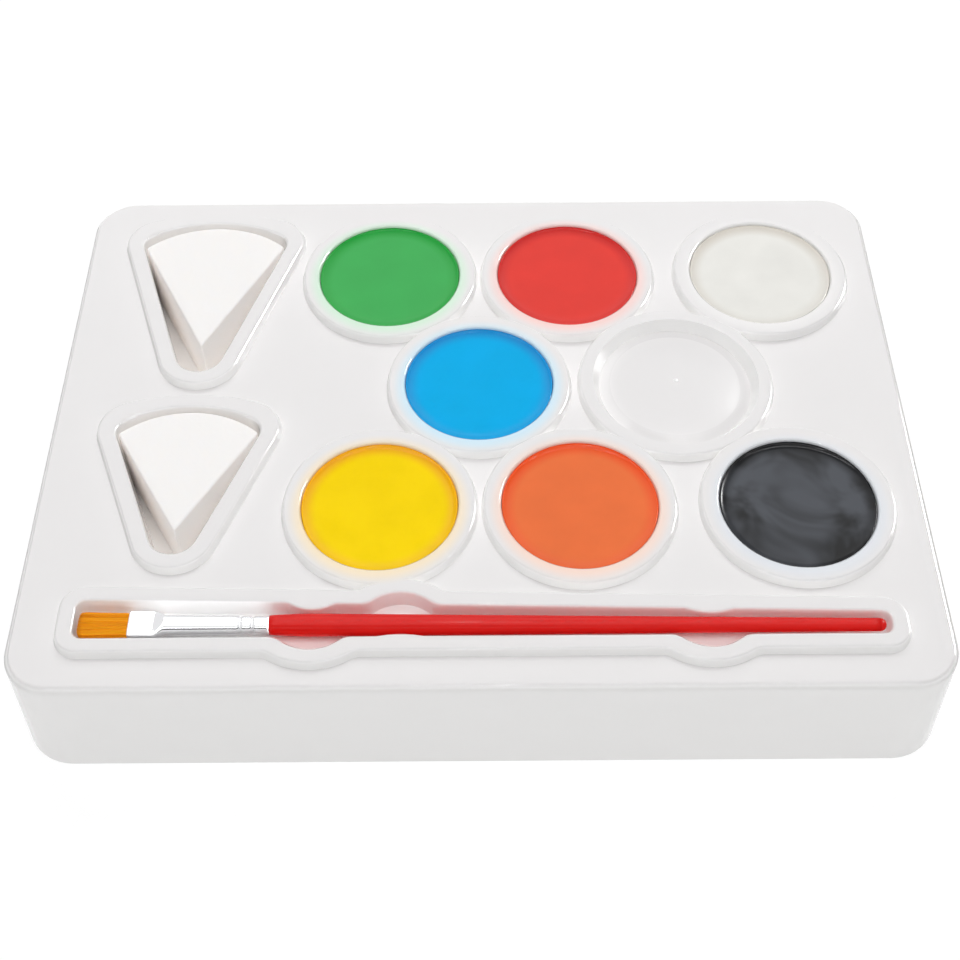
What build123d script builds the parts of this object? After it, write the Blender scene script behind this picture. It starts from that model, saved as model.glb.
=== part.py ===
from build123d import *
import math
import os

# Face paint kit: a vacuum-formed tray of thin milky sheet that holds seven cast discs of
# face paint, one empty mixing well, two wedge sponges and a flat brush.
# Millimetres. The origin is the middle of the tray's footprint, on the surface it stands on.
# X runs along the brush towards the handle's end, Y away from the brush side, Z up.

# The sheet, its walls and levels
SHEET = 0.6
PLATE_HEIGHT = 25.2
RING_RISE = 1.8
WALL_DRAFT = 2.5
TRAY_CORNER = 8.7
TRAY_EDGE_EASE = 1.0

# Paint wells, their raised rings and the paint cast into them
WELL_RADIUS = 15.0
WELL_DEPTH = 5.0
WELL_DRAFT = 3.0
RING_WIDTH = 3.5
RING_DRAFT = 12.0
RING_GAP = 1.2
RING_MERGE = 0.7
LIP_EASE = 0.5
PAINT_BELOW_LIP = 1.1
PAINT_GAP = 0.05

# Mixing well: a sloping wall down to a floor that bulges up as a low dome with a moulding pip
MIX_RADIUS = 16.8
MIX_RING_WIDTH = 2.8
MIX_GAP = 4.5
MIX_WALL_DEPTH = 2.2
MIX_WALL_SLOPE = 32.0
MIX_DOME_RISE = 1.9
MIX_PIP_RADIUS = 0.6
MIX_PIP_RISE = 0.3

# Sponge pockets, wedges with a round tip and an arched back, and the foam wedges in them
LIP_WIDTH = 3.5
POCKET_CORNER = 3.6
POCKET_DRAFT = 2.0
BACK_POCKET_LENGTH = 43.5
BACK_POCKET_SLOPE = 18.2
BACK_POCKET_TIP_RADIUS = 4.9
BACK_POCKET_ARCH = 5.0
FRONT_POCKET_LENGTH = 35.6
FRONT_POCKET_SLOPE = 21.0
FRONT_POCKET_TIP_RADIUS = 4.6
FRONT_POCKET_ARCH = 4.8
POCKET_ROW_GAP = 2.8
SPONGE_THICK = 16.0
SPONGE_BELOW_LIP = 0.6
SPONGE_SIDE_CLEARANCE = 0.4
SPONGE_BACK_CLEARANCE = 0.9
SPONGE_CORNER = 1.6
BACK_SPONGE_LENGTH = 35.5
BACK_SPONGE_ARCH = 6.0
FRONT_SPONGE_LENGTH = 29.3
FRONT_SPONGE_ARCH = 5.4
SEAT_CLEARANCE = 0.3

# Brush: a flat tuft, a crimped ferrule and a tapered handle with a tenon
BRISTLE_LENGTH = 9.2
BRISTLE_COLUMNS = 30
BRISTLE_ROWS = 10
BRISTLE_RAGGED = 0.35
TUFT_ROOT = 2.0
STRAND_SPACE = 0.03
FERRULE_LENGTH = 25.4
FERRULE_WIDTH = 5.4
FERRULE_THICK = 2.2
FERRULE_WALL = 0.3
FERRULE_FLAT_LENGTH = 4.4
FERRULE_NECK_LENGTH = 2.4
FERRULE_NECK_RADIUS = 1.9
FERRULE_END_RADIUS = 1.65
CRIMP_DEPTH = 0.15
CRIMP_WIDTH = 0.7
CRIMP_SPACING = 2.2
CRIMP_FROM_END = 3.0
TENON_GAP = 0.05
TENON_LENGTH = 9.0
HANDLE_START_RADIUS = 1.8
HANDLE_START_ROUND = 0.3
HANDLE_RADIUS = 2.1
HANDLE_SWELL_LENGTH = 8.0
HANDLE_END_RADIUS = 1.2
BRUSH_SKEW = 0.4
BRUSH_BELOW_LIP = 1.3

# Brush slot, with three finger notches that each face a snap bump
SLOT_LIP = 3.2
SLOT_TIP_CLEARANCE = 0.6
SLOT_END_CLEARANCE = 0.8
SLOT_HEAD_CLEARANCE = 1.9
SLOT_TAIL_CLEARANCE = 1.0
SLOT_FRONT_CLEARANCE = 0.8
SLOT_DRAFT = 5.0
SLOT_CORNER = 1.6
SLOT_LIP_CORNER = 4.4
SNAP_CLEARANCE = 0.4
SNAP_HALF_WIDTH = 4.2
SNAP_BLEND = 2.5
NOTCH_HALF_WIDTH = 6.0
NOTCH_SPREAD = 0.6
NOTCH_DEPTH = 2.6
NOTCH_BLEND = 3.5
HEAD_NOTCH_PLACE = 42.0
MIDDLE_NOTCH_PLACE = 58.2
TAIL_NOTCH_PLACE = 114.0

# Plate left bare around the features
LEFT_MARGIN = 8.3
SLOT_LEFT_MARGIN = 8.9
SLOT_RIGHT_MARGIN = 8.4
RIGHT_MARGIN = 6.3
FRONT_MARGIN = 6.9
BACK_MARGIN = 6.7
POCKET_BACK_MARGIN = 5.6
SPONGE_GAP = 0.7
SLOT_TO_RINGS = 0.6

# Levels
lip_height = PLATE_HEIGHT + RING_RISE
paint_height = lip_height - PAINT_BELOW_LIP
well_floor = lip_height - WELL_DEPTH
sponge_top = lip_height - SPONGE_BELOW_LIP
sponge_bottom = sponge_top - SPONGE_THICK
pocket_floor = sponge_bottom - SEAT_CLEARANCE
brush_height = lip_height - BRUSH_BELOW_LIP
slot_floor = brush_height - HANDLE_RADIUS - SEAT_CLEARANCE


def outward(depth, draft):
    """How far a drafted wall moves sideways over a depth."""
    return depth * math.tan(math.radians(draft))


def stacked(outline, levels):
    """Solid with straight walls through outlines of one family, each level a height and a growth."""
    return loft([Pos(0, 0, height) * outline(grow) for height, grow in levels], ruled=True)


def turned(profile):
    """Solid turned about Z from edges in the XZ plane that close on the axis."""
    return revolve(make_face(profile), Axis.Z)


# Sponge pocket outlines, tip on the local origin and back towards +Y

def wedge_half_width(slope, tip_radius, y):
    """Half width of a round-tipped wedge at a distance from its tip."""
    angle = math.radians(slope)
    return tip_radius / math.cos(angle) + (y - tip_radius) * math.tan(angle)


def pocket_outline(length, slope, tip_radius, arch, grow):
    """Round-tipped wedge with an arched back and rounded back corners, grown outwards."""
    angle = math.radians(slope)
    tip = tip_radius + grow
    back_y = length - arch + grow
    back_x = wedge_half_width(slope, tip_radius, back_y) + grow / math.cos(angle)
    side_x = tip * math.cos(angle)
    side_y = tip_radius - tip * math.sin(angle)
    edges = [
        Line((side_x, side_y), (back_x, back_y)),
        ThreePointArc((back_x, back_y), (0, length + grow), (-back_x, back_y)),
        Line((-back_x, back_y), (-side_x, side_y)),
        ThreePointArc((-side_x, side_y), (0, tip_radius - tip), (side_x, side_y)),
    ]
    face = make_face(edges)
    return fillet(face.vertices().sort_by(Axis.Y)[-2:], POCKET_CORNER + grow)


def back_pocket(grow):
    """Opening of the back sponge pocket in its own frame."""
    return pocket_outline(
        BACK_POCKET_LENGTH, BACK_POCKET_SLOPE, BACK_POCKET_TIP_RADIUS, BACK_POCKET_ARCH, grow)


def front_pocket(grow):
    """Opening of the front sponge pocket in its own frame."""
    return pocket_outline(
        FRONT_POCKET_LENGTH, FRONT_POCKET_SLOPE, FRONT_POCKET_TIP_RADIUS, FRONT_POCKET_ARCH, grow)


# Plan layout along X: sponge pads, then three columns of rings
ring_radius = WELL_RADIUS + RING_WIDTH
mix_ring_radius = MIX_RADIUS + MIX_RING_WIDTH
sponge_pad_width = back_pocket(LIP_WIDTH).bounding_box().size.X
tray_width = (LEFT_MARGIN + sponge_pad_width + SPONGE_GAP + 6 * ring_radius
              + RING_GAP + MIX_GAP + RIGHT_MARGIN)
left_edge = -tray_width / 2
right_edge = tray_width / 2
pocket_x = left_edge + LEFT_MARGIN + sponge_pad_width / 2
column_right = right_edge - RIGHT_MARGIN - ring_radius
column_middle = column_right - 2 * ring_radius - MIX_GAP
column_left = column_middle - 2 * ring_radius - RING_GAP
blue_x = (column_left + column_middle) / 2
mix_x = (column_middle + column_right) / 2

# Plan layout along Y: the slot, then three staggered rows whose rings just run together
row_pitch = math.sqrt((2 * ring_radius - RING_MERGE) ** 2 - (ring_radius + RING_GAP / 2) ** 2)
slot_width = SLOT_FRONT_CLEARANCE + 2 * HANDLE_RADIUS + SLOT_HEAD_CLEARANCE
tray_depth = (FRONT_MARGIN + 2 * SLOT_LIP + slot_width + SLOT_TO_RINGS
              + 2 * ring_radius + 2 * row_pitch + BACK_MARGIN)
front_edge = -tray_depth / 2
back_edge = tray_depth / 2
row_back = back_edge - BACK_MARGIN - ring_radius
row_middle = row_back - row_pitch
row_front = row_middle - row_pitch
back_pocket_y = back_edge - POCKET_BACK_MARGIN - LIP_WIDTH - BACK_POCKET_LENGTH
front_pocket_y = back_pocket_y - 2 * LIP_WIDTH - POCKET_ROW_GAP - FRONT_POCKET_LENGTH

# The brush fills its slot from end to end, and the handle takes what the head leaves
slot_left = left_edge + SLOT_LEFT_MARGIN + SLOT_LIP
slot_right = right_edge - SLOT_RIGHT_MARGIN - SLOT_LIP
slot_front = front_edge + FRONT_MARGIN + SLOT_LIP
brush_left = slot_left + SLOT_TIP_CLEARANCE
brush_right = slot_right - SLOT_END_CLEARANCE
ferrule_left = brush_left + BRISTLE_LENGTH
handle_left = ferrule_left + FERRULE_LENGTH
swell_x = handle_left + HANDLE_SWELL_LENGTH
brush_y = slot_front + SLOT_FRONT_CLEARANCE + HANDLE_RADIUS
head_notch_x = brush_left + HEAD_NOTCH_PLACE
middle_notch_x = brush_left + MIDDLE_NOTCH_PLACE
tail_notch_x = brush_left + TAIL_NOTCH_PLACE

paints = {
    "paint_green": (column_left, row_back),
    "paint_red": (column_middle, row_back),
    "paint_white": (column_right, row_back),
    "paint_blue": (blue_x, row_middle),
    "paint_yellow": (column_left, row_front),
    "paint_orange": (column_middle, row_front),
    "paint_black": (column_right, row_front),
}


def brush_centre(x):
    """Y of the brush's axis, which lies slightly askew in its slot."""
    return brush_y - outward(x - swell_x, BRUSH_SKEW)


def handle_radius_at(x):
    """Radius of the handle's long taper at a place along the tray."""
    share = (x - swell_x) / (brush_right - swell_x)
    return HANDLE_RADIUS + (HANDLE_END_RADIUS - HANDLE_RADIUS) * share


# Brush slot outlines

def slot_back(x):
    """Y of the slot's back edge, which closes in towards the thin end of the handle."""
    head = brush_centre(slot_left) + FERRULE_WIDTH / 2 + SLOT_HEAD_CLEARANCE
    tail = brush_centre(slot_right) + HANDLE_END_RADIUS + SLOT_TAIL_CLEARANCE
    return head + (tail - head) * (x - slot_left) / (slot_right - slot_left)


def bump(start, apex, end):
    """Arc of a notch or a snap, from its start over its apex to its end."""
    return ThreePointArc(start, apex, end)


def slot_outline(grow, corner, with_snaps):
    """Outline of the slot, or of its raised lip, with the notches and snaps on both edges."""
    left = slot_left - grow
    right = slot_right + grow
    front = slot_front - grow
    notch_half = NOTCH_HALF_WIDTH + NOTCH_SPREAD * grow
    front_notches = [head_notch_x, tail_notch_x]
    places = [(x, front - NOTCH_DEPTH, notch_half) for x in front_notches]
    if with_snaps:
        reach = handle_radius_at(middle_notch_x) + SNAP_CLEARANCE + grow
        places.append((middle_notch_x, brush_centre(middle_notch_x) - reach, SNAP_HALF_WIDTH))
    points = [(left, front)]
    edges = []
    notch_corners = []
    snap_corners = []
    for x, apex, half in sorted(places):
        start = (x - half, front)
        end = (x + half, front)
        edges += [Line(points[-1], start), bump(start, (x, apex), end)]
        points.append(end)
        (notch_corners if half == notch_half else snap_corners).extend([start, end])
    edges.append(Line(points[-1], (right, front)))
    points.append((right, slot_back(right) + grow))
    edges.append(Line((right, front), points[-1]))
    places = [(middle_notch_x, slot_back(middle_notch_x) + grow + NOTCH_DEPTH, notch_half)]
    if with_snaps:
        for x in front_notches:
            reach = handle_radius_at(x) + SNAP_CLEARANCE + grow
            places.append((x, brush_centre(x) + reach, SNAP_HALF_WIDTH))
    for x, apex, half in sorted(places, reverse=True):
        start = (x + half, slot_back(x + half) + grow)
        end = (x - half, slot_back(x - half) + grow)
        edges += [Line(points[-1], start), bump(start, (x, apex), end)]
        points.append(end)
        (notch_corners if half == notch_half else snap_corners).extend([start, end])
    edges.append(Line(points[-1], (left, slot_back(left) + grow)))
    edges.append(Line((left, slot_back(left) + grow), (left, front)))
    face = make_face(edges)
    ends = [(left, front), (right, front), (right, slot_back(right) + grow), (left, slot_back(left) + grow)]
    for corners, radius in ((notch_corners, NOTCH_BLEND), (snap_corners, SNAP_BLEND), (ends, corner)):
        for x, y in corners:
            face = fillet(face.vertices().sort_by_distance((x, y, 0))[0], radius)
    return face


def slot_opening(grow):
    """Opening of the brush slot."""
    return slot_outline(grow, SLOT_CORNER + max(grow, 0), True)


def slot_lip(grow):
    """Outside of the slot's raised lip, which only the notches bend."""
    return slot_outline(SLOT_LIP + grow, SLOT_LIP_CORNER + grow, False)


# The formed sheet

def tray_outline(grow):
    """Rounded rectangle of the tray's top edge, grown outwards."""
    return RectangleRounded(tray_width + 2 * grow, tray_depth + 2 * grow, TRAY_CORNER + grow)


def ring_outline(grow):
    """Outside of a paint well's ring, grown outwards."""
    return Circle(ring_radius + grow)


def mix_ring_outline(grow):
    """Outside of the mixing well's ring, grown outwards."""
    return Circle(mix_ring_radius + grow)


def well_opening(grow):
    """Opening of a paint well, grown outwards."""
    return Circle(WELL_RADIUS + grow)


def raised_pad(outline, inset):
    """Raised pad round an opening, its top edge eased where it is the sheet's top face."""
    base = PLATE_HEIGHT - inset - SHEET
    top = lip_height - inset
    levels = [(base, outward(lip_height - base, RING_DRAFT) - inset)]
    if inset:
        return stacked(outline, levels + [(top, -inset)])
    return stacked(outline, levels + [(top - LIP_EASE, 0), (top, -LIP_EASE)])


def room(outline, floor, draft, inset):
    """Room of a well or pocket with drafted walls, its mouth eased where it is the top face."""
    low = floor - inset
    top = lip_height + SHEET
    levels = [(low, inset - outward(lip_height - low, draft))]
    if inset:
        return stacked(outline, levels + [(top, inset)])
    return stacked(outline, levels + [(lip_height - LIP_EASE, 0), (lip_height, LIP_EASE), (top, LIP_EASE)])


def mixing_well(inset):
    """Room of the mixing well: a sloping wall and a domed floor with a pip on its top side."""
    edge_z = lip_height - MIX_WALL_DEPTH - inset
    edge_radius = MIX_RADIUS - outward(MIX_WALL_DEPTH, MIX_WALL_SLOPE) + inset
    top_z = lip_height + SHEET
    top_radius = edge_radius + outward(top_z - edge_z, MIX_WALL_SLOPE)
    apex_z = edge_z + MIX_DOME_RISE
    sphere_radius = (edge_radius ** 2 + MIX_DOME_RISE ** 2) / (2 * MIX_DOME_RISE)
    half_x = edge_radius / 2
    half_z = apex_z - sphere_radius + math.sqrt(sphere_radius ** 2 - half_x ** 2)
    room = turned([
        ThreePointArc((0, 0, apex_z), (half_x, 0, half_z), (edge_radius, 0, edge_z)),
        Line((edge_radius, 0, edge_z), (top_radius, 0, top_z)),
        Line((top_radius, 0, top_z), (0, 0, top_z)),
        Line((0, 0, top_z), (0, 0, apex_z)),
    ])
    if inset:
        return room
    return room - Pos(0, 0, apex_z + MIX_PIP_RISE - MIX_PIP_RADIUS) * Sphere(MIX_PIP_RADIUS)


def back_pad(grow):
    """Outside of the back pocket's raised lip, grown outwards."""
    return back_pocket(LIP_WIDTH + grow)


def front_pad(grow):
    """Outside of the front pocket's raised lip, grown outwards."""
    return front_pocket(LIP_WIDTH + grow)


def formed(inset):
    """Block under the sheet's top face, or under its bottom face when inset by the sheet."""
    low = -2 * inset
    high = PLATE_HEIGHT - inset
    ease = TRAY_EDGE_EASE - inset / 2
    body = stacked(tray_outline, [
        (low, outward(PLATE_HEIGHT - low, WALL_DRAFT) - inset),
        (high - ease, outward(inset + ease, WALL_DRAFT) - inset),
        (high, -inset - ease),
    ])
    wells = [Pos(x, y) for x, y in paints.values()]
    mix_place = Pos(mix_x, row_middle)
    back_place = Pos(pocket_x, back_pocket_y)
    front_place = Pos(pocket_x, front_pocket_y)
    pads = [place * raised_pad(ring_outline, inset) for place in wells]
    pads.append(mix_place * raised_pad(mix_ring_outline, inset))
    pads.append(back_place * raised_pad(back_pad, inset))
    pads.append(front_place * raised_pad(front_pad, inset))
    pads.append(raised_pad(slot_lip, inset))
    rooms = [place * room(well_opening, well_floor, WELL_DRAFT, inset) for place in wells]
    rooms.append(mix_place * mixing_well(inset))
    rooms.append(back_place * room(back_pocket, pocket_floor, POCKET_DRAFT, inset))
    rooms.append(front_place * room(front_pocket, pocket_floor, POCKET_DRAFT, inset))
    rooms.append(room(slot_opening, slot_floor, SLOT_DRAFT, inset))
    return body + pads - rooms


def make_tray():
    """The tray: the block under the top face less the block under the bottom face."""
    return formed(0) - formed(SHEET)


# Paint and sponges

def make_paint():
    """Disc of paint cast into a well."""
    foot = WELL_RADIUS - outward(lip_height - well_floor, WELL_DRAFT) - PAINT_GAP
    rim = foot + outward(paint_height - well_floor, WELL_DRAFT)
    return turned([
        Line((0, 0, well_floor), (foot, 0, well_floor)),
        Line((foot, 0, well_floor), (rim, 0, paint_height)),
        Line((rim, 0, paint_height), (0, 0, paint_height)),
        Line((0, 0, paint_height), (0, 0, well_floor)),
    ])


def make_sponge(pocket_length, slope, tip_radius, length, arch):
    """Sharp foam wedge with an arched back, drafted downwards as its pocket is."""
    back = pocket_length - SPONGE_BACK_CLEARANCE
    corner_y = back - arch
    half = wedge_half_width(slope, tip_radius, corner_y) - SPONGE_SIDE_CLEARANCE
    tip = (0, back - length)
    wedge = make_face([
        Line(tip, (half, corner_y)),
        ThreePointArc((half, corner_y), (0, back), (-half, corner_y)),
        Line((-half, corner_y), tip),
    ])
    wedge = fillet(wedge.vertices().sort_by(Axis.Y)[-2:], SPONGE_CORNER)
    upside_down = extrude(Pos(0, 0, -sponge_top) * wedge, SPONGE_THICK, taper=POCKET_DRAFT)
    return mirror(upside_down, about=Plane.XY)


# Brush, built along X with its own origin on the axis at the handle's thickest place

def on_brush(x):
    """Place along the brush's own axis."""
    return x - swell_x


brush_place = Location((swell_x, brush_y, brush_height), (0, 0, -BRUSH_SKEW))


def ferrule_form(inset, neck_radius):
    """Outside of the ferrule, or its bore when inset: flat mouth, neck, then a tube."""
    mouth = on_brush(ferrule_left) - inset
    flat_end = on_brush(ferrule_left) + FERRULE_FLAT_LENGTH
    neck_end = flat_end + FERRULE_NECK_LENGTH
    tube_end = on_brush(handle_left) + inset
    width = FERRULE_WIDTH - 2 * inset
    thick = FERRULE_THICK - 2 * inset
    flat_section = Plane.YZ * RectangleRounded(width, thick, thick * 0.45)
    neck_section = Plane.YZ * Circle(neck_radius - inset)
    end_section = Plane.YZ * Circle(FERRULE_END_RADIUS - inset)
    flat = extrude(Pos(mouth, 0, 0) * flat_section, flat_end - mouth, dir=(1, 0, 0))
    neck = loft([Pos(flat_end, 0, 0) * flat_section, Pos(neck_end, 0, 0) * neck_section], ruled=True)
    tube = loft([Pos(neck_end, 0, 0) * neck_section, Pos(tube_end, 0, 0) * end_section])
    return flat + neck + tube


def crimp(x):
    """Ring that a crimp presses into the ferrule's outside, with two sloping sides."""
    deep = FERRULE_END_RADIUS - CRIMP_DEPTH
    shallow = FERRULE_END_RADIUS + CRIMP_DEPTH
    half = CRIMP_WIDTH / 2
    return revolve(make_face([
        Line((x, deep), (x - half, shallow)),
        Line((x - half, shallow), (x + half, shallow)),
        Line((x + half, shallow), (x, deep)),
    ]), Axis.X)


def make_ferrule():
    """Thin metal tube, flattened at the mouth and crimped on to the handle's tenon."""
    shell = ferrule_form(0, FERRULE_NECK_RADIUS) - ferrule_form(FERRULE_WALL, FERRULE_END_RADIUS)
    for turn in range(2):
        shell -= crimp(on_brush(handle_left) - CRIMP_FROM_END - turn * CRIMP_SPACING)
    return shell


def make_handle():
    """Turned handle: a tenon in the ferrule, a quick swell and a long taper to a round end."""
    tenon_radius = FERRULE_END_RADIUS - FERRULE_WALL - TENON_GAP
    start = on_brush(handle_left)
    tenon = start - TENON_LENGTH
    dome = on_brush(brush_right) - HANDLE_END_RADIUS
    swell = (0, HANDLE_RADIUS)
    shoulder = (start, HANDLE_START_RADIUS - HANDLE_START_ROUND)
    rounded = (start + HANDLE_START_ROUND, HANDLE_START_RADIUS)
    dome_start = (dome, HANDLE_END_RADIUS)
    tip = (dome + HANDLE_END_RADIUS, 0)
    profile = make_face([
        Line((tenon, 0), (tenon, tenon_radius)),
        Line((tenon, tenon_radius), (start, tenon_radius)),
        Line((start, tenon_radius), shoulder),
        Line(shoulder, rounded),
        TangentArc(swell, rounded, tangent=(-1, 0)),
        Line(swell, dome_start),
        ThreePointArc(dome_start, (dome + HANDLE_END_RADIUS * math.sqrt(0.5),
                                   HANDLE_END_RADIUS * math.sqrt(0.5)), tip),
        Line(tip, (tenon, 0)),
    ])
    return revolve(profile, Axis.X)


def make_bristles():
    """Flat tuft of three-sided strands standing on the glued slice that the ferrule holds."""
    mouth = on_brush(ferrule_left)
    width = FERRULE_WIDTH - 2 * FERRULE_WALL - 2 * TENON_GAP
    thick = FERRULE_THICK - 2 * FERRULE_WALL - 2 * TENON_GAP
    root_section = Plane.YZ * RectangleRounded(width, thick, thick * 0.45)
    root = extrude(Pos(mouth, 0, 0) * root_section, TUFT_ROOT, dir=(1, 0, 0))
    column_pitch = (width - thick * 0.3) / BRISTLE_COLUMNS
    row_pitch_tuft = thick / (BRISTLE_ROWS + 0.5)
    radius = (min(column_pitch, row_pitch_tuft) - STRAND_SPACE) / math.sqrt(3)
    strands = []
    for row in range(BRISTLE_ROWS):
        for column in range(BRISTLE_COLUMNS):
            y = (column - (BRISTLE_COLUMNS - 1) / 2) * column_pitch
            z = (row - (BRISTLE_ROWS - 1) / 2) * row_pitch_tuft
            wave = math.sin(3.1 * column + 1.7 * row) * math.sin(1.3 * column - 2.3 * row)
            length = BRISTLE_LENGTH - BRISTLE_RAGGED * (1 - wave) / 2
            strand = extrude(Plane.YZ * Pos(y, z) * RegularPolygon(radius, 3), -length, dir=(1, 0, 0))
            strands.append(Pos(mouth, 0, 0) * strand)
    return root.fuse(*strands)


def main():
    """Write every piece in its place."""
    os.makedirs("parts", exist_ok=True)
    parts = {"tray": make_tray()}
    paint = make_paint()
    for name, (x, y) in paints.items():
        parts[name] = Pos(x, y) * paint
    parts["sponge_back"] = Pos(pocket_x, back_pocket_y) * make_sponge(
        BACK_POCKET_LENGTH, BACK_POCKET_SLOPE, BACK_POCKET_TIP_RADIUS, BACK_SPONGE_LENGTH, BACK_SPONGE_ARCH)
    parts["sponge_front"] = Pos(pocket_x, front_pocket_y) * make_sponge(
        FRONT_POCKET_LENGTH, FRONT_POCKET_SLOPE, FRONT_POCKET_TIP_RADIUS, FRONT_SPONGE_LENGTH,
        FRONT_SPONGE_ARCH)
    parts["brush_handle"] = brush_place * make_handle()
    parts["brush_ferrule"] = brush_place * make_ferrule()
    parts["brush_bristles"] = brush_place * make_bristles()
    for name, shape in parts.items():
        export_step(shape, f"parts/{name}.step")


main()
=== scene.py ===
import math
import bpy
import numpy as np
from mathutils import Matrix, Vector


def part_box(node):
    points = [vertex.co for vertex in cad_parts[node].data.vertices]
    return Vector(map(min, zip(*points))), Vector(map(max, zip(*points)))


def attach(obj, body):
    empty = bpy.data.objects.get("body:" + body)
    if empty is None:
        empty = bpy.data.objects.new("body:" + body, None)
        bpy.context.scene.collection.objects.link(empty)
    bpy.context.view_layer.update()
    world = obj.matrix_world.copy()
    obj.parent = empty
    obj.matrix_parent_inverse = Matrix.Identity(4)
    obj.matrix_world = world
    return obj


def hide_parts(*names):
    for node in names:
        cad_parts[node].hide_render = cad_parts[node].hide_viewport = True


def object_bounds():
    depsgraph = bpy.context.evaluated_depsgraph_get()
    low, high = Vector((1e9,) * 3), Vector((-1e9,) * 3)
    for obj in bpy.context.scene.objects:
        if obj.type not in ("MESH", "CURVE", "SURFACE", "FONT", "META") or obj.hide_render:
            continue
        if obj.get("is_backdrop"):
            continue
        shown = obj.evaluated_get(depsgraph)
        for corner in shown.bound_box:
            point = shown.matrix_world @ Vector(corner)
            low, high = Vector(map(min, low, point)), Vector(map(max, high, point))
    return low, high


# Face paint kit: a milky tray with seven cakes of face paint, an empty mixing well, two foam
# wedges and a flat brush. Metres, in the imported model's frame: X along the brush, Y away from it,
# Z up from the surface that the tray stands on.

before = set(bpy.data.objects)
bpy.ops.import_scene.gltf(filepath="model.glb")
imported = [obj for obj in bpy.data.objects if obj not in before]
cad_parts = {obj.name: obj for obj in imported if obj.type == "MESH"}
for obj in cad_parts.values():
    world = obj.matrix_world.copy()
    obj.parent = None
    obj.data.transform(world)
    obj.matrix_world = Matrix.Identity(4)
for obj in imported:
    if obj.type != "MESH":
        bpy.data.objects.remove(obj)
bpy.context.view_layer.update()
MM = 0.001


# TRAY. One thin sheet of milky polypropylene, warmed and drawn by vacuum over a mould. The walls
# lean out a little, and every edge is a soft bend, because a warm sheet takes no sharp corner.

def linear(colour):
    """Linear red, green, blue and alpha of an sRGB hex colour."""
    values = np.array([int(colour[i:i + 2], 16) / 255 for i in (1, 3, 5)])
    curved = np.where(values <= 0.04045, values / 12.92, ((values + 0.055) / 1.055) ** 2.4)
    return [*curved.tolist(), 1.0]


def add_node(tree, kind, inputs=None, **settings):
    """Adds a node, sets its options, and sets each input or links it to another node's socket."""
    node = tree.nodes.new(kind)
    for name, value in settings.items():
        setattr(node, name, value)
    for name, value in (inputs or {}).items():
        if isinstance(value, bpy.types.NodeSocket):
            tree.links.new(value, node.inputs[name])
        else:
            node.inputs[name].default_value = value
    return node


def new_material(name, surface):
    """A material whose even values stand on the Principled shader's own sockets."""
    material = bpy.data.materials.new(name)
    material.use_nodes = True
    tree = material.node_tree
    shader = tree.nodes["Principled BSDF"]
    for socket, value in surface.items():
        shader.inputs[socket].default_value = value
    place = add_node(tree, "ShaderNodeTexCoord").outputs["Object"]
    return material, tree, shader, place


def dress(piece, material):
    """Gives a piece its one material."""
    piece.data.materials.clear()
    piece.data.materials.append(material)
    piece.data.shade_smooth()


SAME_PLACE = 0.0001 * MM


def merged_copy(node, name):
    """Copy of a CAD node as one joined mesh: corners at the same place become one vertex."""
    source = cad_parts[node].data
    points = np.zeros(len(source.vertices) * 3)
    source.vertices.foreach_get("co", points)
    corners = np.zeros(len(source.loops), dtype=np.int32)
    source.loops.foreach_get("vertex_index", corners)
    rounded = np.round(points.reshape(-1, 3) / SAME_PLACE).astype(np.int64)
    _, first, joined = np.unique(rounded, axis=0, return_index=True, return_inverse=True)
    faces = joined.reshape(-1)[corners].reshape(-1, 3)
    whole = (faces[:, 0] != faces[:, 1]) & (faces[:, 1] != faces[:, 2]) & (faces[:, 2] != faces[:, 0])
    mesh = bpy.data.meshes.new(name)
    mesh.from_pydata(points.reshape(-1, 3)[first].tolist(), [], faces[whole].tolist())
    mesh.update()
    piece = bpy.data.objects.new(name, mesh)
    bpy.context.scene.collection.objects.link(piece)
    return piece


# A bend past the sharpest keeps its edge. The last two values only keep a division off zero.
SHARPEST_BEND = math.radians(50)
SLOPE_STEPS = 300
DEPTH_STEP = 0.05 * MM
NO_LENGTH, LEAST_WEIGHT = 1e-30, 1e-20


def firm_flats(mesh):
    """Smooth normals in which flat areas stay flat, and corners past the sharpest bend stay sharp.
    Each face counts by its angle at the corner and the square of its whole plane's area. Faces
    are taken as one plane when their slopes and depths round to the same steps."""
    spots = np.array([vertex.co[:] for vertex in mesh.vertices])
    faces = np.array([polygon.vertices[:] for polygon in mesh.polygons])
    corners = spots[faces]
    cross = np.cross(corners[:, 1] - corners[:, 0], corners[:, 2] - corners[:, 0])
    length = np.linalg.norm(cross, axis=1)
    normal = cross / np.maximum(length, NO_LENGTH)[:, None]
    offset = (normal * corners[:, 0]).sum(axis=1)
    planes = np.concatenate([np.round(normal * SLOPE_STEPS), np.round(offset / DEPTH_STEP)[:, None]], axis=1)
    _, member = np.unique(planes.astype(np.int64), axis=0, return_inverse=True)
    member = member.reshape(-1)
    plane_area = np.bincount(member, weights=length)[member]
    out = np.roll(corners, -1, axis=1) - corners
    back = np.roll(corners, 1, axis=1) - corners
    turn = np.arctan2(length[:, None], (out * back).sum(axis=2))
    weight = (turn * plane_area[:, None] ** 2 + LEAST_WEIGHT).reshape(-1)
    own = np.repeat(normal, 3, axis=0)
    result = own.copy()
    order = np.argsort(faces.reshape(-1), kind="stable")
    starts = np.flatnonzero(np.diff(faces.reshape(-1)[order], prepend=-1))
    for group in np.split(order, starts[1:]):
        near = own[group] @ own[group].T > math.cos(SHARPEST_BEND)
        total = near @ (own[group] * weight[group, None])
        result[group] = total / np.maximum(np.linalg.norm(total, axis=1), NO_LENGTH)[:, None]
    mesh.normals_split_custom_set(result.tolist())


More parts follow.
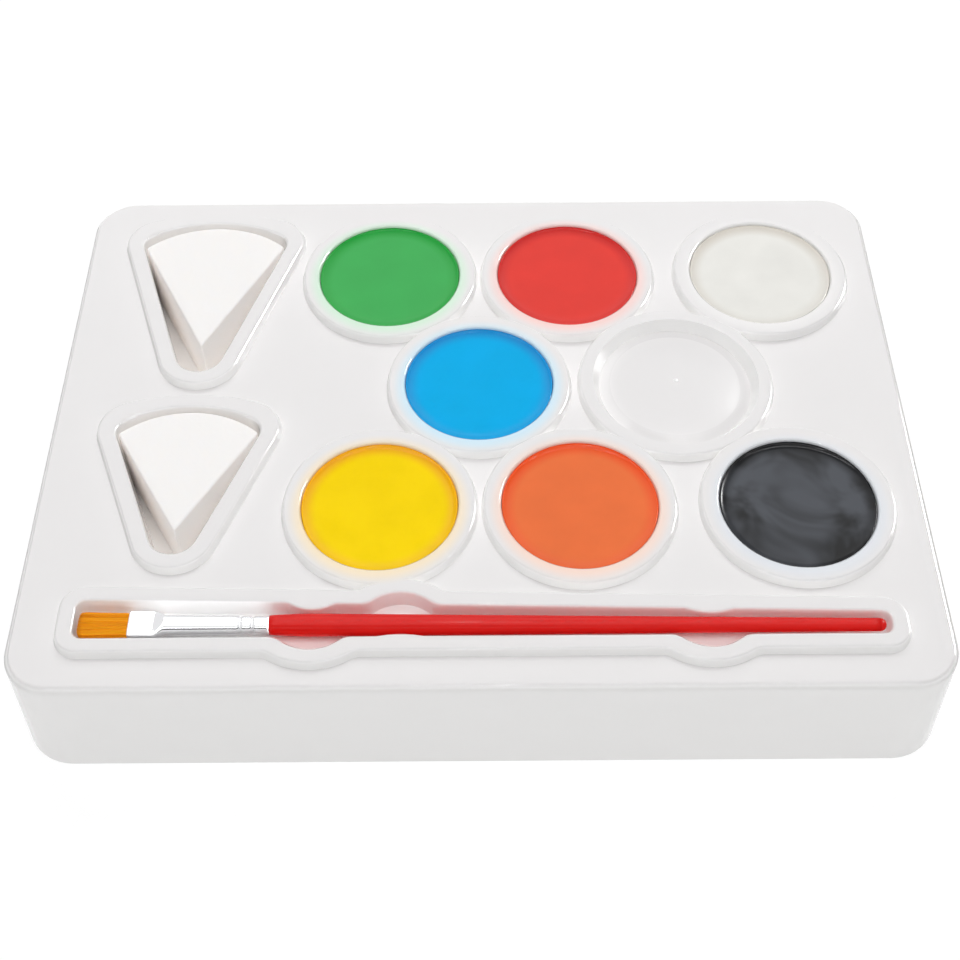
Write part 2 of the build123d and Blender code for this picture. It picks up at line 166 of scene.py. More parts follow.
def middle(node):
    """Middle of a CAD node's box, as numbers."""
    low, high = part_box(node)
    return (np.array(low) + np.array(high)) / 2


# Each cake's colours are that of its level top, the painted shade on its edge where the skin
# climbs the wall, and the painted coloured light that it throws on the sheet round it.
paint_colours = {
    "paint_green": ("#48B25D", "#009A2E", "#BCEFC8"),
    "paint_red": ("#E8443C", "#C81A18", "#FFC0B6"),
    "paint_white": ("#EEEDE8", "#D8D2C8", "#EFEDEC"),
    "paint_blue": ("#00B0EE", "#0086CC", "#B4E8FF"),
    "paint_yellow": ("#FFDA00", "#F0A400", "#FFE0A4"),
    "paint_orange": ("#EF7643", "#EC4A10", "#FFCFB4"),
    "paint_black": ("#2A2C30", "#050507", "#D6DEE8"),
}

# Milky polypropylene, formed: bright with a soft skin gloss, a little light passes through it,
# and a wet-looking highlight runs along every bend. The sheet's skin is faintly wavy. Its colour
# is lighter from just under the plate's height down, and wherever it leans from level: painted
# light that lifts the shade in the walls and pockets.
PLATE_COLOUR = "#E1DFDF"
POCKET_LIGHT_COLOUR = "#FDFCFB"
POCKET_LIGHT_START, POCKET_LIGHT_FULL = 25.1 * MM, 23.6 * MM
LEVEL_FACING, STEEP_FACING = 0.97, 0.7
WAVE_MM = 14.0

# Painted coloured light from each cake on the sheet: a tint of the cake's colour, even out to its
# rim, then less and less over the ring. The tint's middle lies a little in front of the cake's.
BOUNCE_TINT_FULL, BOUNCE_TINT_END = 14.8 * MM, 18.0 * MM
BOUNCE_TINT_FORWARD = 0.9 * MM
BOUNCE_TINT_SHARE = 0.6

# The mixing well's floor was shaped by a sanded part of the mould, so it is duller than the rest.
SANDED_EDGE, SANDED_FULL = 14.5 * MM, 12.5 * MM
GLOSSY, SANDED = 0.1, 0.36

sheet, tree, shader, place = new_material("milky_polypropylene_formed", {
    "IOR": 1.49,
    "Subsurface Weight": 0.1,
    "Subsurface Radius": (1.0, 0.98, 0.96),
    "Subsurface Scale": 2.5 * MM,
})
flat_place = add_node(tree, "ShaderNodeVectorMath", {0: place, 1: (1, 1, 0)}, operation="MULTIPLY")
place_parts = add_node(tree, "ShaderNodeSeparateXYZ", {0: place})
# Painted light: the colour turns lighter from just under the plate's height down and on steep walls, to lift the shade
# there.
light_below_plate = add_node(tree, "ShaderNodeMapRange", {
    "Value": place_parts.outputs["Z"], "From Min": POCKET_LIGHT_START, "From Max": POCKET_LIGHT_FULL,
}, interpolation_type="SMOOTHSTEP")
geometry = add_node(tree, "ShaderNodeNewGeometry")
facing = add_node(tree, "ShaderNodeSeparateXYZ", {0: geometry.outputs["Normal"]})
steep_wall_light = add_node(tree, "ShaderNodeMapRange", {
    "Value": facing.outputs["Z"], "From Min": LEVEL_FACING, "From Max": STEEP_FACING,
})
painted_light_share = add_node(tree, "ShaderNodeMath", {0: light_below_plate.outputs[0], 1: steep_wall_light.outputs[0]}, operation="MAXIMUM")
sheet_colour = add_node(tree, "ShaderNodeMix", {
    0: painted_light_share.outputs[0], 6: linear(PLATE_COLOUR), 7: linear(POCKET_LIGHT_COLOUR),
}, data_type="RGBA")
colour = sheet_colour.outputs[2]
# Painted coloured light: each cake tints the sheet round it in its own colour.
for node, (_, _, bounce_tint) in paint_colours.items():
    x, y, _ = middle(node)
    away = add_node(tree, "ShaderNodeVectorMath", {0: flat_place.outputs[0], 1: (x, y - BOUNCE_TINT_FORWARD, 0)},
                    operation="DISTANCE")
    near = add_node(tree, "ShaderNodeMapRange", {
        "Value": away.outputs["Value"], "From Min": BOUNCE_TINT_END, "From Max": BOUNCE_TINT_FULL, "To Max": BOUNCE_TINT_SHARE,
    }, interpolation_type="SMOOTHSTEP")
    tint = add_node(tree, "ShaderNodeMix", {0: near.outputs[0], 6: colour, 7: linear(bounce_tint)}, data_type="RGBA")
    colour = tint.outputs[2]
tree.links.new(colour, shader.inputs["Base Color"])

# The mixing well lies midway between the columns of the orange and the black cake, in the row of
# the blue one.
mix_x = (middle("paint_orange")[0] + middle("paint_black")[0]) / 2
mix_y = middle("paint_blue")[1]
from_mix = add_node(tree, "ShaderNodeVectorMath", {0: flat_place.outputs[0], 1: (mix_x, mix_y, 0)},
                    operation="DISTANCE")
dullness = add_node(tree, "ShaderNodeMapRange", {
    "Value": from_mix.outputs["Value"], "From Min": SANDED_EDGE, "From Max": SANDED_FULL, "To Min": GLOSSY,
    "To Max": SANDED,
})
tree.links.new(dullness.outputs[0], shader.inputs["Roughness"])

wave = add_node(tree, "ShaderNodeTexNoise", {"Vector": place, "Scale": 1 / (WAVE_MM * MM), "Detail": 1.0})
wavy = add_node(tree, "ShaderNodeBump", {"Height": wave.outputs["Fac"], "Strength": 0.25, "Distance": 1.0 * MM})
tree.links.new(wavy.outputs[0], shader.inputs["Normal"])

tray = merged_copy("tray", "tray_sheet")
dress(tray, sheet)
firm_flats(tray.data)
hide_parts("tray")
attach(tray, "tray")


# PAINT CAKES. Face paint poured warm into each well and left to set. The skin dries level and
# glossy, sinks a hair in the middle, and stays drawn up where it wetted the wall.

def skin(name, points, start_cap=False, end_cap=False):
    """Mesh over a grid of points whose rows run along the piece and whose columns close round it.
    A cap is a fan of triangles from the middle of the first or last row."""
    rows, columns = points.shape[:2]
    index = np.arange(rows * columns).reshape(rows, columns)
    after = np.roll(index, -1, axis=1)
    faces = np.stack([index[:-1], after[:-1], after[1:], index[1:]], axis=-1).reshape(-1, 4).tolist()
    vertices = [points.reshape(-1, 3)]
    if start_cap:
        vertices.append(points[0].mean(axis=0)[None])
        hub = np.full(columns, rows * columns)
        faces += np.stack([hub, after[0], index[0]], axis=-1).tolist()
    if end_cap:
        vertices.append(points[-1].mean(axis=0)[None])
        hub = np.full(columns, rows * columns + int(start_cap))
        faces += np.stack([hub, index[-1], after[-1]], axis=-1).tolist()
    mesh = bpy.data.meshes.new(name)
    mesh.from_pydata(np.concatenate(vertices).tolist(), [], faces)
    mesh.update()
    piece = bpy.data.objects.new(name, mesh)
    bpy.context.scene.collection.objects.link(piece)
    return piece


MENISCUS_RISE = 0.5 * MM
MENISCUS_FADE = 0.9 * MM
EDGE_BAND = 3.0 * MM
SETTLED_DIP = 0.12 * MM
RIPPLE = 0.02 * MM
FOOT_EDGE = 0.02 * MM
WALL_DRAFT = math.radians(3.0)
LAST_ROW = 0.985
CAKE_ROWS, CAKE_COLUMNS = 70, 192
CLOUD_MM = 9.0
BLOOM_MM = 15.0
around = np.linspace(0, 2 * math.pi, CAKE_COLUMNS, endpoint=False)
for number, (node, (top_colour, rim_shade_colour, _)) in enumerate(paint_colours.items()):
    low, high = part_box(node)
    x, y, _ = middle(node)
    rim = (high.x - low.x) / 2
    foot = rim - (high.z - low.z) * math.tan(WALL_DRAFT)
    level = high.z

    # Rows climb the wall, then run in over the skin nearly to the middle. Height is the level, plus
    # a rise that fades away from the wall, less a shallow dip in the middle, plus slow ripples of
    # the cooling skin, which differ from cake to cake.
    share = np.linspace(0, 1, CAKE_ROWS)[:, None]
    inward = rim * (1 - (1 - share) ** 1.6) * LAST_ROW
    radius = (rim - inward) + 0 * around
    ripple = (radius / rim) ** 2 * (np.sin(2 * around + 1.3 * number) * np.sin(3 * math.pi * radius / rim)
                                    + 0.6 * np.sin(3 * around + 2.1 * number))
    height = (level + MENISCUS_RISE * np.exp(-(rim - radius) / MENISCUS_FADE)
              - SETTLED_DIP * (1 - (radius / rim) ** 2) + RIPPLE * ripple)
    wall_radius = np.array([foot, foot, rim])[:, None] + 0 * around
    wall_height = np.array([low.z, low.z + FOOT_EDGE, level])[:, None] + 0 * around
    radius = np.concatenate([wall_radius, radius])
    height = np.concatenate([wall_height, height])
    points = np.stack([x + radius * np.cos(around), y + radius * np.sin(around), height], axis=-1)
    cake = skin(node + "_cake", points, start_cap=True, end_cap=True)

    # Set glycerine face paint, poured: full colour with a wet gloss and cloudy patches where the
    # skin dried duller. A darker band near the rim is painted shade on the meniscus where the skin
    # climbs the wall, strongest at the back and the sides.
    cake_paint, tree, shader, place = new_material("set_face_paint_" + node[6:], {"IOR": 1.5})
    cloud = add_node(tree, "ShaderNodeTexNoise", {
        "Vector": place, "Scale": 1 / (CLOUD_MM * MM), "Detail": 3.0, "Roughness": 0.55,
    })
    dull = add_node(tree, "ShaderNodeMapRange", {
        "Value": cloud.outputs["Fac"], "From Min": 0.35, "From Max": 0.7, "To Min": 0.08, "To Max": 0.24,
    })
    tree.links.new(dull.outputs[0], shader.inputs["Roughness"])
    shade = add_node(tree, "ShaderNodeMapRange", {
        "Value": cloud.outputs["Fac"], "From Min": 0.3, "From Max": 0.75, "To Min": 0.96, "To Max": 1.03,
    })
    if node == "paint_black":
        # Black shows its dried bloom: dull grey patches over the wet black.
        bloom = add_node(tree, "ShaderNodeTexNoise", {
            "Vector": place, "Scale": 1 / (BLOOM_MM * MM), "Detail": 3.0, "Roughness": 0.5, "Distortion": 0.6,
        })
        shade = add_node(tree, "ShaderNodeMapRange", {
            "Value": bloom.outputs["Fac"], "From Min": 0.38, "From Max": 0.6, "To Min": 0.15, "To Max": 3.0,
        }, interpolation_type="SMOOTHSTEP")
    top_tint = add_node(tree, "ShaderNodeVectorMath", {0: linear(top_colour)[:3], "Scale": shade.outputs[0]},
                        operation="SCALE")
    offset = add_node(tree, "ShaderNodeVectorMath", {0: place, 1: (x, y, level)}, operation="SUBTRACT")
    flat_offset = add_node(tree, "ShaderNodeVectorMath", {0: offset.outputs[0], 1: (1, 1, 0)}, operation="MULTIPLY")
    away = add_node(tree, "ShaderNodeVectorMath", {0: flat_offset.outputs[0]}, operation="LENGTH")
    backward = add_node(tree, "ShaderNodeSeparateXYZ", {0: flat_offset.outputs[0]})
    # Painted shade on the meniscus: a darker band near the rim, strongest at the back and sides.
    band = add_node(tree, "ShaderNodeMapRange", {
        "Value": away.outputs["Value"], "From Min": rim - EDGE_BAND, "From Max": rim - 0.3 * MM,
    }, interpolation_type="SMOOTHSTEP")
    shade_to_back = add_node(tree, "ShaderNodeMapRange", {
        "Value": backward.outputs["Y"], "From Min": -rim, "From Max": rim * 0.7, "To Min": 0.25, "To Max": 0.95,
    })
    rim_shade = add_node(tree, "ShaderNodeMath", {0: band.outputs[0], 1: shade_to_back.outputs[0]}, operation="MULTIPLY")
    tint = add_node(tree, "ShaderNodeMix", {0: rim_shade.outputs[0], 6: top_tint.outputs[0], 7: linear(rim_shade_colour)},
                    data_type="RGBA")
    tree.links.new(tint.outputs[2], shader.inputs["Base Color"])
    top_gloss, edge_gloss = (0.11, 0.1) if node == "paint_black" else (0.03, 0.1)
    gloss = add_node(tree, "ShaderNodeMapRange", {"Value": band.outputs[0], "To Min": top_gloss, "To Max": edge_gloss})
    tree.links.new(gloss.outputs[0], shader.inputs["Specular IOR Level"])
    uneven = add_node(tree, "ShaderNodeBump", {"Height": cloud.outputs["Fac"], "Strength": 0.12, "Distance": 0.5 * MM})
    tree.links.new(uneven.outputs[0], shader.inputs["Normal"])
    dress(cake, cake_paint)
    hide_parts(node)
    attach(cake, "tray")


# SPONGES. Wedges sliced from a round of fine latex foam, so the back is an arc of its rim and the
# two flat cuts meet in a crisp tip. They stand loose in their pockets.

# Latex foam, cut: matte warm white. Its pores are about 0.3 mm across, and they are drawn at
# 0.45 mm because finer ones don't show.
PORE_MM = 0.45
CELL_MM = 1.6 * PORE_MM
foam, tree, shader, place = new_material("latex_foam_cut", {
    "Base Color": linear("#FDFAF8"),
    "Roughness": 0.92,
    "IOR": 1.4,
    "Specular IOR Level": 0.25,
    "Subsurface Weight": 0.3,
    "Subsurface Radius": (1.0, 0.9, 0.8),
    "Subsurface Scale": 0.8 * MM,
})
pores = add_node(tree, "ShaderNodeTexNoise", {"Vector": place, "Scale": 1 / (PORE_MM * MM), "Detail": 3.0})
cells = add_node(tree, "ShaderNodeTexVoronoi", {"Vector": place, "Scale": 1 / (CELL_MM * MM)})
grain = add_node(tree, "ShaderNodeMix", {0: 0.5, 2: pores.outputs["Fac"], 3: cells.outputs["Distance"]})
rough = add_node(tree, "ShaderNodeBump", {"Height": grain.outputs[0], "Strength": 0.35, "Distance": 0.15 * MM})
tree.links.new(rough.outputs[0], shader.inputs["Normal"])

CUT_ROUND = 0.45 * MM
CORNER_TRIM = 0.35 * MM
SIDE_POINTS = 160
for node, arch_mm in (("sponge_back", 6.0), ("sponge_front", 5.4)):
    low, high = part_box(node)
    x = middle(node)[0]
    half = (high.x - low.x) / 2 + CORNER_TRIM
    arch = arch_mm * MM
    corner_y = high.y - arch

    # The outline goes out along one cut, back over the arc and in along the other cut. Averaging
    # each point with its neighbours rounds the corners by about half a millimetre, so the side
    # corners start out wider by what that trims off them.
    step = np.linspace(0, 1, SIDE_POINTS, endpoint=False)
    turn = 2 * math.atan2(arch, half)
    round_radius = half / math.sin(turn)
    sweep = turn - 2 * turn * step
    out_cut = np.stack([x + half * step, low.y + (corner_y - low.y) * step], axis=-1)
    arc = np.stack([x + round_radius * np.sin(sweep), high.y - round_radius * (1 - np.cos(sweep))], axis=-1)
    in_cut = np.stack([x - half * (1 - step), corner_y + (low.y - corner_y) * step], axis=-1)
    outline = np.concatenate([out_cut, arc, in_cut])
    outline = np.mean([np.roll(outline, shift, axis=0) for shift in range(-3, 4)], axis=0)

    # Rows follow a profile of inset and height: a small round, the cut side, a small round. An
    # inset shrinks the outline towards the centre of the circle that touches all three sides.
    slant = math.atan2(half, corner_y - low.y)
    reach = (high.y - low.y) / (1 + math.sin(slant))
    centre = np.array([x, low.y + reach])
    quarter = np.linspace(0, math.pi / 2, 5)
    top_insets = np.array([1, 4, 8]) * MM
    inset = np.concatenate([CUT_ROUND * (1 - np.sin(quarter)), CUT_ROUND * (1 - np.cos(quarter)), top_insets])
    height = np.concatenate([low.z + CUT_ROUND * (1 - np.cos(quarter)), high.z - CUT_ROUND * (1 - np.sin(quarter)),
                             np.full(len(top_insets), high.z)])
    kept = 1 - inset / (reach * math.sin(slant))
    rows = centre + (outline - centre)[None] * kept[:, None, None]
    levels = np.broadcast_to(height[:, None, None], (*rows.shape[:2], 1))
    wedge = np.concatenate([rows, levels], axis=-1)
    sponge = skin(node + "_foam", wedge, start_cap=True, end_cap=True)
    dress(sponge, foam)
    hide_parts(node)
    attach(sponge, node)


# BRUSH HANDLE. Turned beech, dipped in bright red lacquer: a quick swell where it leaves the
# ferrule, then a long straight taper to a rounded end.

# Lengths on the brush are in millimetres from where the handle reaches its full radius. The
# brush lies a little askew in its slot.
SKEW = math.radians(0.4)
axis_start = np.array([-30.04, -50.119, 25.7]) * MM
axis_along = np.array([math.cos(SKEW), -math.sin(SKEW), 0])
axis_across = np.array([math.sin(SKEW), math.cos(SKEW), 0])
axis_up = np.array([0, 0, 1])


def on_brush(along, across, up):
    """Points from distances along the brush's axis, across it and up, all in millimetres."""
    return axis_start + MM * (along[..., None] * axis_along + across[..., None] * axis_across
                              + up[..., None] * axis_up)


# Along the handle the radius grows on a quarter wave, falls straight, and closes on a quarter
# circle. The first two rows close it towards the ferrule.
TUBE_END = -8.0
HANDLE_END = 102.98
START_RADIUS, FULL_RADIUS, END_RADIUS = 1.8, 2.1, 1.2
HANDLE_COLUMNS = 64
dome_start = HANDLE_END - END_RADIUS
swell = np.linspace(TUBE_END, 0, 14)
taper = np.linspace(2, dome_start, 60)
dome = np.linspace(0, math.pi / 2, 12)
along = np.concatenate([[TUBE_END, TUBE_END], swell, taper, dome_start + END_RADIUS * np.sin(dome)])
radius = np.concatenate([
    [0.6, 1.5],
    START_RADIUS + (FULL_RADIUS - START_RADIUS) * np.sin((1 - swell / TUBE_END) * math.pi / 2),
    FULL_RADIUS - (FULL_RADIUS - END_RADIUS) * taper / dome_start,
    END_RADIUS * np.cos(dome) + 0.001,
])
angle = np.linspace(0, 2 * math.pi, HANDLE_COLUMNS, endpoint=False)
points = on_brush(along[:, None] + 0 * angle, radius[:, None] * np.cos(angle), radius[:, None] * np.sin(angle))
handle = skin("handle_lacquered", points, start_cap=True, end_cap=True)

# Red nitro lacquer on wood, dipped: deep even red under a hard clear gloss.
lacquer, tree, shader, place = new_material("red_lacquer_dipped", {
    "Roughness": 0.14,
    "IOR": 1.5,
    "Specular IOR Level": 0.12,
})
STREAK_MM = 6.0
streak = add_node(tree, "ShaderNodeTexNoise", {"Vector": place, "Scale": 1 / (STREAK_MM * MM), "Detail": 2.0})
red = add_node(tree, "ShaderNodeMix", {0: streak.outputs["Fac"], 6: linear("#D8120E"), 7: linear("#E21B16")},
               data_type="RGBA")
tree.links.new(red.outputs[2], shader.inputs["Base Color"])
dress(handle, lacquer)
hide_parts("brush_handle")
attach(handle, "brush")


# FERRULE. A thin drawn tube, plated bright, pressed flat at the mouth to hold the hair and rolled
# with two crimps that bite into the handle.

def eased(value, start, end):
    """Smooth step from 0 at start to 1 at end."""
    share = np.clip((value - start) / (end - start), 0, 1)
    return share * share * (3 - 2 * share)


MOUTH = -33.4
FLAT_END = -29.0
NECK_END = -26.6
METAL = 0.3
FLAT_HALF_WIDTH, FLAT_HALF_THICK = 2.7, 1.1
NECK_RADIUS, TUBE_NARROWING = 1.9, 0.25
CRIMP_PLACES, CRIMP_DEPTH, CRIMP_SPREAD = (3.0, 5.2), 0.22, 0.32
FLAT_POWER, ROUND_POWER = 5.0, 2.0
FERRULE_COLUMNS = 96

# Rows start inside the mouth, turn its rim, run along the flat, the neck and the tube, and turn in
# at the handle. They lie closest together over the crimps.
along = np.concatenate([
    [MOUTH + 2.5, MOUTH + 0.1, MOUTH, MOUTH + 0.05],
    np.linspace(MOUTH + 0.3, FLAT_END, 8),
    np.linspace(FLAT_END + 0.15, NECK_END, 14),
    np.linspace(NECK_END + 0.4, TUBE_END - 6.0, 22),
    np.linspace(TUBE_END - 5.9, TUBE_END - 2.0, 60),
    np.linspace(TUBE_END - 1.6, TUBE_END, 5),
    [TUBE_END, TUBE_END - 0.2],
])
wall = np.zeros(len(along))
wall[:2] = METAL
wall[2] = 0.4 * METAL
wall[-1] = METAL

# Half width and half thickness run from the flat mouth to the round tube; the section is a
# superellipse whose power falls to that of an ellipse. Each crimp is a narrow smooth dip.
round_share = eased(along, FLAT_END, NECK_END)
tube = NECK_RADIUS - TUBE_NARROWING * np.clip((along - NECK_END) / (TUBE_END - NECK_END), 0, 1)
crimps = sum(CRIMP_DEPTH * np.exp(-((along - TUBE_END + from_end) / CRIMP_SPREAD) ** 2) for from_end in CRIMP_PLACES)
half_width = FLAT_HALF_WIDTH + (tube - FLAT_HALF_WIDTH) * round_share - wall - crimps
half_thick = FLAT_HALF_THICK + (tube - FLAT_HALF_THICK) * round_share - wall - crimps
power = FLAT_POWER + (ROUND_POWER - FLAT_POWER) * eased(along, FLAT_END - 0.4, NECK_END)
angle = np.linspace(0, 2 * math.pi, FERRULE_COLUMNS, endpoint=False)
bulge = 2 / power[:, None]
across = half_width[:, None] * np.sign(np.cos(angle)) * np.abs(np.cos(angle)) ** bulge
up = half_thick[:, None] * np.sign(np.sin(angle)) * np.abs(np.sin(angle)) ** bulge
ferrule = skin("ferrule_tube", on_brush(along[:, None] + 0 * angle, across, up), start_cap=True)

# Nickel-plated brass, drawn and polished: a clear mirror with faint lines along the drawing.
plating, tree, shader, place = new_material("nickel_plated_brass_drawn", {
    "Base Color": linear("#E6E6E8"),
    "Metallic": 1.0,
})
LINE_LENGTH_MM, LINE_WIDTH_MM = 20 / 3, 0.25
line_scale = (1 / (LINE_LENGTH_MM * MM), 1 / (LINE_WIDTH_MM * MM), 1 / (LINE_WIDTH_MM * MM))
stretched = add_node(tree, "ShaderNodeMapping", {"Vector": place, "Scale": line_scale})
lines = add_node(tree, "ShaderNodeTexNoise", {"Vector": stretched.outputs[0], "Scale": 1.0, "Detail": 2.0})
polish = add_node(tree, "ShaderNodeMapRange", {"Value": lines.outputs["Fac"], "To Min": 0.06, "To Max": 0.2})
tree.links.new(polish.outputs[0], shader.inputs["Roughness"])
dress(ferrule, plating)
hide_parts("brush_ferrule")
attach(ferrule, "brush")


# BRISTLES. Golden nylon filaments, glued in a bundle, pressed flat by the ferrule and trimmed
# square, with a few a little short at the corners.

FILAMENTS = 1500
SIDES = 3
TUFT_LENGTH, TUFT_ROOT = 9.2, 1.5
TUFT_HALF_WIDTH, TUFT_HALF_THICK = 2.3, 0.72
CORNER_SHORT, TIP_UNEVEN, STRAY = 0.45, 0.16, 0.05
HAIR_RADIUS = 0.075

# Roots fill a flat bundle that thins at its two edges. Tips fall short at the corners, and each
# one also by a small random length.
seeded = np.random.default_rng(7)
spread = seeded.uniform(-1, 1, (FILAMENTS, 2))
root_across = spread[:, 0] * TUFT_HALF_WIDTH
root_up = spread[:, 1] * TUFT_HALF_THICK * (1 - 0.35 * spread[:, 0] ** 6)
fan = seeded.normal(0, STRAY, (FILAMENTS, 2))
corner = np.abs(spread[:, 0]) ** 5 * CORNER_SHORT
reach = TUFT_LENGTH - corner - np.abs(seeded.normal(0, TIP_UNEVEN, FILAMENTS))
share = np.array([0.0, 0.35, 0.7, 0.92, 1.0])
thick = HAIR_RADIUS * np.array([1.0, 1.0, 0.95, 0.7, 0.25])
wander = share ** 2
side = np.arange(SIDES) * 2 * math.pi / SIDES

# Each filament is a three-sided tube along minus X whose radius falls near the tip. It leaves the
# mouth straight and bends a little outwards by the square of its length.
bend_across = root_across[:, None] * (1 + 0.07 * wander) + fan[:, :1] * wander
bend_up = root_up[:, None] * (1 - 0.1 * wander) + fan[:, 1:] * wander
twist = seeded.uniform(0, 6.28, FILAMENTS)[:, None, None] + side
hair_across = bend_across[:, :, None] + thick[None, :, None] * np.cos(twist)
hair_up = bend_up[:, :, None] + thick[None, :, None] * np.sin(twist)
hair_along = MOUTH + TUFT_ROOT - (reach + TUFT_ROOT)[:, None, None] * share[None, :, None] + 0 * side
points = on_brush(hair_along, hair_across, hair_up)
rings = np.arange(FILAMENTS * len(share) * SIDES).reshape(FILAMENTS, len(share), SIDES)
beside = np.roll(rings, -1, axis=2)
quads = np.stack([rings[:, :-1], rings[:, 1:], beside[:, 1:], beside[:, :-1]], axis=-1).reshape(-1, 4)
ends = rings[:, -1]
mesh = bpy.data.meshes.new("bristle_filaments")
mesh.from_pydata(points.reshape(-1, 3).tolist(), [], quads.tolist() + ends.tolist())
mesh.update()
bristles = bpy.data.objects.new("bristle_filaments", mesh)
bpy.context.scene.collection.objects.link(bristles)

# Nylon filament, drawn: clear golden orange with a silky gleam; colour differs from hair to hair.
tone = mesh.attributes.new("tone", "FLOAT", "POINT")
tone.data.foreach_set("value", np.repeat(seeded.uniform(0, 1, FILAMENTS), len(share) * SIDES))
nylon, tree, shader, place = new_material("golden_nylon_filament", {
    "Roughness": 0.42,
    "IOR": 1.53,
    "Specular IOR Level": 0.1,
})
hair_tone = add_node(tree, "ShaderNodeAttribute", attribute_name="tone")
gold = add_node(tree, "ShaderNodeMix", {0: hair_tone.outputs["Fac"], 6: linear("#FF9C06"), 7: linear("#FFB81A")},
                data_type="RGBA")
tree.links.new(gold.outputs[2], shader.inputs["Base Color"])
dress(bristles, nylon)
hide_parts("brush_bristles")
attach(bristles, "brush")


# STUDIO.

def stage_plane(name, size, material):
    mesh = bpy.data.meshes.new(name)
    half = size / 2
    mesh.from_pydata([(-half, -half, 0), (half, -half, 0), (half, half, 0), (-half, half, 0)], [], [(0, 1, 2, 3)])
    mesh.materials.append(material)
    plane = bpy.data.objects.new(name, mesh)
    bpy.context.scene.collection.objects.link(plane)
    plane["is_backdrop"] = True
    return plane


def seen_directly(tree):
    """1 for rays from the camera, a mirror or a clear thing, and 0 for rays that carry light."""
    ray = add_node(tree, "ShaderNodeLightPath")
    mirrored = add_node(tree, "ShaderNodeMath", {0: ray.outputs["Is Camera Ray"], 1: ray.outputs["Is Glossy Ray"]},
                        operation="MAXIMUM")
    clear = add_node(tree, "ShaderNodeMath", {0: mirrored.outputs[0], 1: ray.outputs["Is Transmission Ray"]},
                     operation="MAXIMUM")
    return clear.outputs[0]


paper, tree, shader, place = new_material("white_paper_sweep", {
    "Base Color": linear("#F4F4F4"),
    "Roughness": 0.9,
    "Specular IOR Level": 0.1,
})
white = add_node(tree, "ShaderNodeEmission", {"Color": (1, 1, 1, 1), "Strength": 1.05})

BURN_START, BURN_END = 0.12, 0.4
WHITE_NEAR = 0.86
from_kit = add_node(tree, "ShaderNodeVectorMath", {0: place}, operation="LENGTH")
burnt = add_node(tree, "ShaderNodeMapRange", {
    "Value": from_kit.outputs["Value"], "From Min": BURN_START, "From Max": BURN_END, "To Min": WHITE_NEAR,
    "To Max": 1.0,
}, interpolation_type="SMOOTHSTEP")
share_white = add_node(tree, "ShaderNodeMath", {0: seen_directly(tree), 1: burnt.outputs[0]}, operation="MULTIPLY")
mixed = add_node(tree, "ShaderNodeMixShader", {0: share_white.outputs[0], 1: shader.outputs[0], 2: white.outputs[0]})
tree.links.new(mixed.outputs[0], tree.nodes["Material Output"].inputs["Surface"])
stage_plane("floor", 6.0, paper)

world = bpy.data.worlds.new("studio_air")
bpy.context.scene.world = world
world.use_nodes = True
tree = world.node_tree
tree.nodes.clear()
air = add_node(tree, "ShaderNodeBackground", {"Color": (1, 1, 1, 1), "Strength": 0.24})
seen = add_node(tree, "ShaderNodeBackground", {"Color": (1, 1, 1, 1), "Strength": 1.0})
mixed = add_node(tree, "ShaderNodeMixShader", {0: seen_directly(tree), 1: air.outputs[0], 2: seen.outputs[0]})
add_node(tree, "ShaderNodeOutputWorld", {"Surface": mixed.outputs[0]})


def softbox(name, azimuth, elevation, distance, width, height, radiance):
    """Azimuth 0 is in front and 90 to the right, in degrees."""
    light = bpy.data.lights.new(name, "AREA")
    light.shape = "RECTANGLE"
    light.size = width
    light.size_y = height
    light.energy = radiance * width * height * math.pi
    lamp = bpy.data.objects.new(name, light)
    bpy.context.scene.collection.objects.link(lamp)
    a, e = math.radians(azimuth), math.radians(elevation)
    lamp.location = (distance * math.sin(a) * math.cos(e), -distance * math.cos(a) * math.cos(e),
                     distance * math.sin(e))
    lamp.rotation_euler = (math.pi / 2 - e, 0, a)
    return lamp


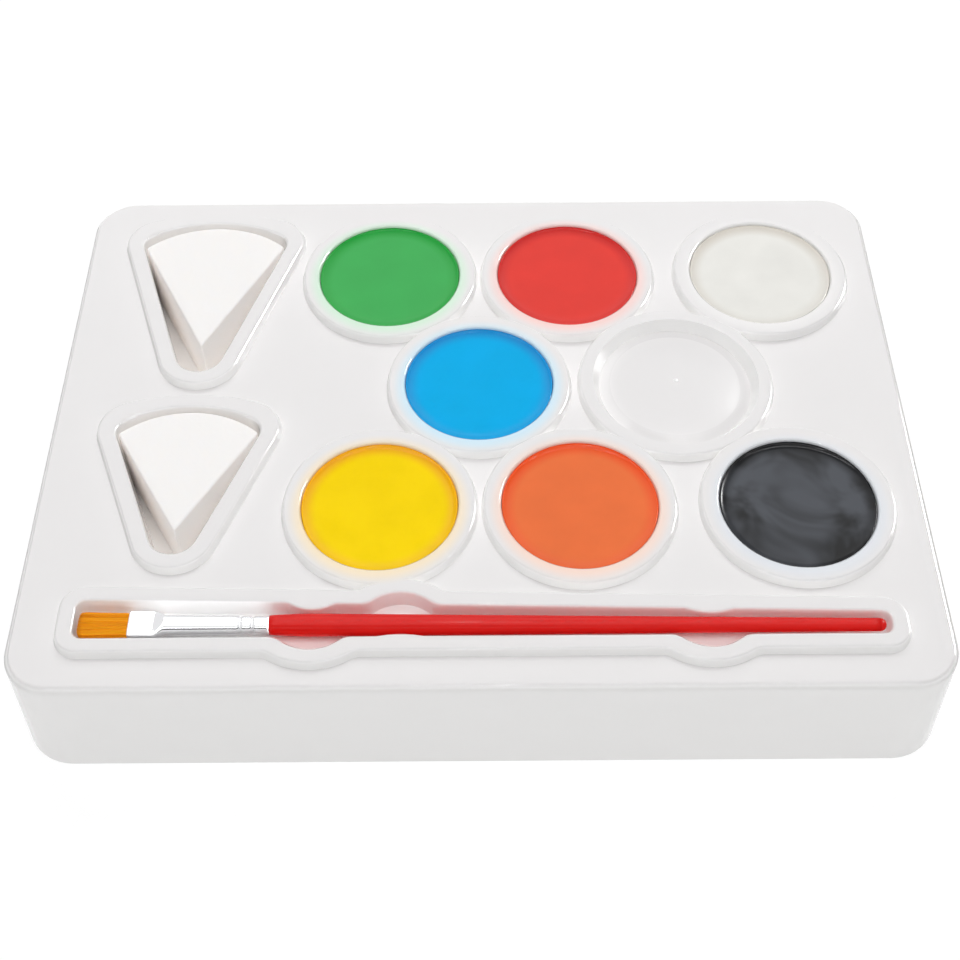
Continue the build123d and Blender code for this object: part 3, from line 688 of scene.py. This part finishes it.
softbox("back_softbox", azimuth=180, elevation=50, distance=1.0, width=0.9, height=0.7, radiance=2.4)
softbox("overhead_softbox", azimuth=0, elevation=75, distance=1.0, width=0.8, height=0.6, radiance=2.3)
softbox("front_fill_softbox", azimuth=0, elevation=22, distance=1.2, width=1.0, height=0.5, radiance=1.65)
softbox("overhead_spot", azimuth=0, elevation=88, distance=0.9, width=0.03, height=0.03, radiance=110.0)

# Two lamps that no matt surface sees: they only draw highlights along bends and round pieces.
right_strip = softbox("right_strip", azimuth=118, elevation=28, distance=0.9, width=0.3, height=0.3, radiance=90.0)
right_strip.visible_diffuse = False
overhead_strip = softbox("overhead_strip", azimuth=180, elevation=80, distance=0.9, width=1.2, height=0.02,
                         radiance=45.0)
overhead_strip.visible_diffuse = False

# Black card low in front, which only glossy surfaces see: it draws the dark line along polished
# metal.
card_paint = new_material("black_flag_card", {
    "Base Color": linear("#1A1A1C"),
    "Roughness": 1.0,
    "Specular IOR Level": 0.0,
})[0]
card = stage_plane("front_flag", 2.4, card_paint)
card.scale = (1, 0.16, 1)
card.location = (0, -1.0, 0.24)
card.rotation_euler = (math.radians(76), 0, 0)
card.visible_camera = False
card.visible_diffuse = False
card.visible_transmission = False
card.visible_shadow = False


# CAMERA. Above the front edge, looking down at about 52 degrees, close in, with a slight roll.
CAMERA_PLACE = (0.31 * MM, -194.85 * MM, 255.6 * MM)
LOOK_DOWN = 52.33
camera_data = bpy.data.cameras.new("camera")
camera_data.sensor_width = 36.0
camera_data.lens = 56.3
camera_data.clip_start = 0.01
camera = bpy.data.objects.new("camera", camera_data)
bpy.context.scene.collection.objects.link(camera)
yaw, tilt, roll = math.radians(0.10), math.radians(90 - LOOK_DOWN), math.radians(-0.48)
camera.matrix_world = (Matrix.Translation(CAMERA_PLACE) @ Matrix.Rotation(yaw, 4, "Z")
                       @ Matrix.Rotation(tilt, 4, "X") @ Matrix.Rotation(roll, 4, "Z"))
bpy.context.scene.camera = camera
bpy.context.scene.view_settings.view_transform = "Standard"

# Light bounces many times between the white walls of a pocket before it comes out.
bpy.context.scene.cycles.diffuse_bounces = 16
bpy.context.scene.cycles.max_bounces = 20

low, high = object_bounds()
